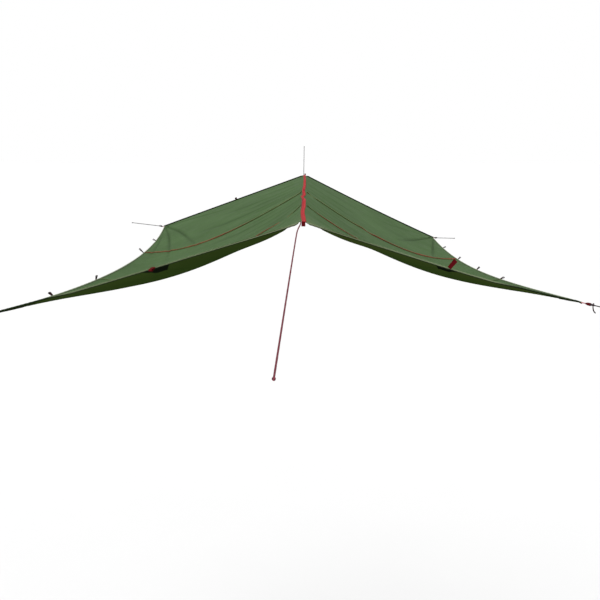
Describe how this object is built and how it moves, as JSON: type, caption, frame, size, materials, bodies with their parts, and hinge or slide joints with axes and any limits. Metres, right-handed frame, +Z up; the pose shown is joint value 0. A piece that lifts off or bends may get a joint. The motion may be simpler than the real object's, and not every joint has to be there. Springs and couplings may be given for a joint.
{
  "type": "tarp shelter",
  "caption": "Rectangular ripstop tarp draped over a tight ridge rope, two sloping panels with webbing loops, corner guylines and cord locks.",
  "frame": {"origin": "middle of the ridge seam, where the ridge rope holds the tarp", "axes": "+Y along the ridge towards its far end, +X to the right panel seen from the near end, +Z up"},
  "size_m": [3.3485, 7.6663, 0.9533],
  "materials": {
    "canopy_cloth": "coated ripstop cloth",
    "hem_binding": "woven binding",
    "reinforcing_cloth": "heavy coated cloth",
    "red_webbing": "woven webbing",
    "rope_cord": "braided rope",
    "guy_cord": "braided cord",
    "lock_plastic": "moulded"
  },
  "bodies": {
    "ridge_rope": {"ridge_rope": "rope_cord", "rope_near_run": "rope_cord", "rope_far_run": "rope_cord", "rope_near_knot": "rope_cord", "rope_far_knot": "rope_cord"},
    "canopy_ridge": {"ridge_band": "red_webbing"},
    "left_panel": {"left_panel": "canopy_cloth", "left_near_hem": "hem_binding", "left_far_hem": "hem_binding", "left_side_hem": "hem_binding", "left_near_seam": "red_webbing", "left_far_seam": "red_webbing", "left_near_middle_patch": "reinforcing_cloth", "left_near_corner_patch": "reinforcing_cloth", "left_far_middle_patch": "reinforcing_cloth", "left_far_corner_patch": "reinforcing_cloth"},
    "right_panel": {"right_panel": "canopy_cloth", "right_near_hem": "hem_binding", "right_far_hem": "hem_binding", "right_side_hem": "hem_binding", "right_near_seam": "red_webbing", "right_far_seam": "red_webbing", "right_near_middle_patch": "reinforcing_cloth", "right_near_corner_patch": "reinforcing_cloth", "right_far_middle_patch": "reinforcing_cloth", "right_far_corner_patch": "reinforcing_cloth"},
    "left_first_loop": {"left_first_loop": "red_webbing"},
    "left_second_loop": {"left_second_loop": "red_webbing"},
    "left_third_loop": {"left_third_loop": "red_webbing"},
    "left_fourth_loop": {"left_fourth_loop": "red_webbing"},
    "left_fifth_loop": {"left_fifth_loop": "red_webbing"},
    "left_near_loop": {"left_near_loop": "red_webbing"},
    "left_far_loop": {"left_far_loop": "red_webbing"},
    "right_first_loop": {"right_first_loop": "red_webbing"},
    "right_second_loop": {"right_second_loop": "red_webbing"},
    "right_third_loop": {"right_third_loop": "red_webbing"},
    "right_fourth_loop": {"right_fourth_loop": "red_webbing"},
    "right_fifth_loop": {"right_fifth_loop": "red_webbing"},
    "right_near_loop": {"right_near_loop": "red_webbing"},
    "right_far_loop": {"right_far_loop": "red_webbing"},
    "near_ridge_loop": {"near_ridge_loop": "red_webbing"},
    "far_ridge_loop": {"far_ridge_loop": "red_webbing"},
    "middle_ridge_loop": {"middle_ridge_loop": "red_webbing"},
    "near_left_guyline": {"near_left_loop": "red_webbing", "near_left_guyline": "guy_cord", "near_left_guy_knot": "guy_cord"},
    "near_left_cord_lock": {"near_left_cord_lock": "lock_plastic"},
    "near_right_guyline": {"near_right_loop": "red_webbing", "near_right_guyline": "guy_cord", "near_right_guy_knot": "guy_cord"},
    "near_right_cord_lock": {"near_right_cord_lock": "lock_plastic", "near_right_tail": "guy_cord"},
    "far_left_guyline": {"far_left_loop": "red_webbing", "far_left_guyline": "guy_cord", "far_left_guy_knot": "guy_cord"},
    "far_left_cord_lock": {"far_left_cord_lock": "lock_plastic"},
    "far_right_guyline": {"far_right_loop": "red_webbing", "far_right_guyline": "guy_cord", "far_right_guy_knot": "guy_cord"},
    "far_right_cord_lock": {"far_right_cord_lock": "lock_plastic"}
  },
  "joints": [
    {"name": "slide_along_rope", "type": "slide", "parent": "ridge_rope", "child": "canopy_ridge", "axis": [0, 1, 0], "range_m": [-0.06, 0.06]},
    {"name": "left_panel_swing", "type": "hinge", "parent": "canopy_ridge", "child": "left_panel", "pos_m": [0, 0, 0], "axis": [0, 1, 0], "range_deg": [-30, 15]},
    {"name": "right_panel_swing", "type": "hinge", "parent": "canopy_ridge", "child": "right_panel", "pos_m": [0, 0, 0], "axis": [0, -1, 0], "range_deg": [-27, 17]},
    {"name": "left_first_loop_swing", "type": "hinge", "parent": "left_panel", "child": "left_first_loop", "pos_m": [-1.37267, -1.57478, -0.47628], "axis": [0.0805, 0.9947, -0.0637], "range_deg": [-130, 40]},
    {"name": "left_second_loop_swing", "type": "hinge", "parent": "left_panel", "child": "left_second_loop", "pos_m": [-1.32426, -0.83086, -0.51568], "axis": [0.0488, 0.9979, -0.0428], "range_deg": [-180, 5]},
    {"name": "left_third_loop_swing", "type": "hinge", "parent": "left_panel", "child": "left_third_loop", "pos_m": [-1.30065, -0.09833, -0.53899], "axis": [0.0152, 0.9997, -0.0206], "range_deg": [-15, 155]},
    {"name": "left_fourth_loop_swing", "type": "hinge", "parent": "left_panel", "child": "left_fourth_loop", "pos_m": [-1.30234, 0.62261, -0.54592], "axis": [-0.0203, 0.9998, 0.0029], "range_deg": [-135, 35]},
    {"name": "left_fifth_loop_swing", "type": "hinge", "parent": "left_panel", "child": "left_fifth_loop", "pos_m": [-1.32969, 1.33175, -0.5358], "axis": [-0.0575, 0.998, 0.0276], "range_deg": [-130, 40]},
    {"name": "left_near_loop_swing", "type": "hinge", "parent": "left_panel", "child": "left_near_loop", "pos_m": [-0.681, -2.29197, -0.20364], "axis": [-0.8553, 0.5146, -0.0599], "range_deg": [-40, 120]},
    {"name": "left_far_loop_swing", "type": "hinge", "parent": "left_panel", "child": "left_far_loop", "pos_m": [-0.67671, 2.21224, -0.24204], "axis": [0.9401, 0.0559, 0.3363], "range_deg": [-145, 25]},
    {"name": "right_first_loop_swing", "type": "hinge", "parent": "right_panel", "child": "right_first_loop", "pos_m": [1.35339, -1.11552, -0.51393], "axis": [0.0496, -0.9947, 0.0901], "range_deg": [-15, 155]},
    {"name": "right_second_loop_swing", "type": "hinge", "parent": "right_panel", "child": "right_second_loop", "pos_m": [1.32519, -0.48342, -0.56672], "axis": [0.0382, -0.9964, 0.0757], "range_deg": [-105, 65]},
    {"name": "right_third_loop_swing", "type": "hinge", "parent": "right_panel", "child": "right_third_loop", "pos_m": [1.3049, 0.19155, -0.61087], "axis": [0.0213, -0.9983, 0.0542], "range_deg": [-125, 45]},
    {"name": "right_fourth_loop_swing", "type": "hinge", "parent": "right_panel", "child": "right_fourth_loop", "pos_m": [1.29655, 0.93128, -0.64194], "axis": [0.0013, -0.9996, 0.0289], "range_deg": [-130, 40]},
    {"name": "right_fifth_loop_swing", "type": "hinge", "parent": "right_panel", "child": "right_fifth_loop", "pos_m": [1.3041, 1.75769, -0.65531], "axis": [-0.0193, -0.9998, 0.0027], "range_deg": [-125, 45]},
    {"name": "right_near_loop_swing", "type": "hinge", "parent": "right_panel", "child": "right_near_loop", "pos_m": [0.69251, -2.11699, -0.23357], "axis": [-0.7246, -0.1671, 0.6686], "range_deg": [-150, 8]},
    {"name": "right_far_loop_swing", "type": "hinge", "parent": "right_panel", "child": "right_far_loop", "pos_m": [0.64087, 2.37177, -0.32464], "axis": [0.8851, 0.1647, -0.4353], "range_deg": [-25, 145]},
    {"name": "near_ridge_loop_swing", "type": "hinge", "parent": "canopy_ridge", "child": "near_ridge_loop", "pos_m": [0, -2.266, 0.00175], "axis": [-1, 0, 0], "range_deg": [-8, 150]},
    {"name": "far_ridge_loop_swing", "type": "hinge", "parent": "canopy_ridge", "child": "far_ridge_loop", "pos_m": [0.002, 2.266, 0.00175], "axis": [1, 0, 0], "range_deg": [-120, 50]},
    {"name": "middle_ridge_loop_swing", "type": "hinge", "parent": "canopy_ridge", "child": "middle_ridge_loop", "pos_m": [0, -0.135, 0.0045], "axis": [0, 1, 0], "range_deg": [-20, 72]},
    {"name": "near_left_guyline_swing", "type": "hinge", "parent": "left_panel", "child": "near_left_guyline", "pos_m": [-1.45143, -2.29973, -0.4253], "axis": [-0.3556, 0.9346, 0], "range_deg": [-35, 35]},
    {"name": "near_left_lock_slide", "type": "slide", "parent": "near_left_guyline", "child": "near_left_cord_lock", "axis": [-0.921, -0.3504, -0.1702], "range_m": [-0.001, 0.075]},
    {"name": "near_right_guyline_swing", "type": "hinge", "parent": "right_panel", "child": "near_right_guyline", "pos_m": [1.40693, -1.94673, -0.4383], "axis": [-0.3556, -0.9346, 0], "range_deg": [-35, 35]},
    {"name": "near_right_lock_slide", "type": "slide", "parent": "near_right_guyline", "child": "near_right_cord_lock", "axis": [0.921, -0.3504, -0.1702], "range_m": [-0.001, 0.075]},
    {"name": "far_left_guyline_swing", "type": "hinge", "parent": "left_panel", "child": "far_left_guyline", "pos_m": [-1.40657, 2.17393, -0.49851], "axis": [0.5137, 0.8579, 0], "range_deg": [-35, 35]},
    {"name": "far_left_lock_slide", "type": "slide", "parent": "far_left_guyline", "child": "far_left_cord_lock", "axis": [-0.8574, 0.5134, 0.0359], "range_m": [-0.001, 0.15]},
    {"name": "far_right_guyline_swing", "type": "hinge", "parent": "right_panel", "child": "far_right_guyline", "pos_m": [1.33218, 2.50477, -0.65028], "axis": [0.6526, -0.7577, 0], "range_deg": [-35, 35]},
    {"name": "far_right_lock_slide", "type": "slide", "parent": "far_right_guyline", "child": "far_right_cord_lock", "axis": [0.7542, 0.6497, -0.0951], "range_m": [-0.001, 0.15]}
  ]
}
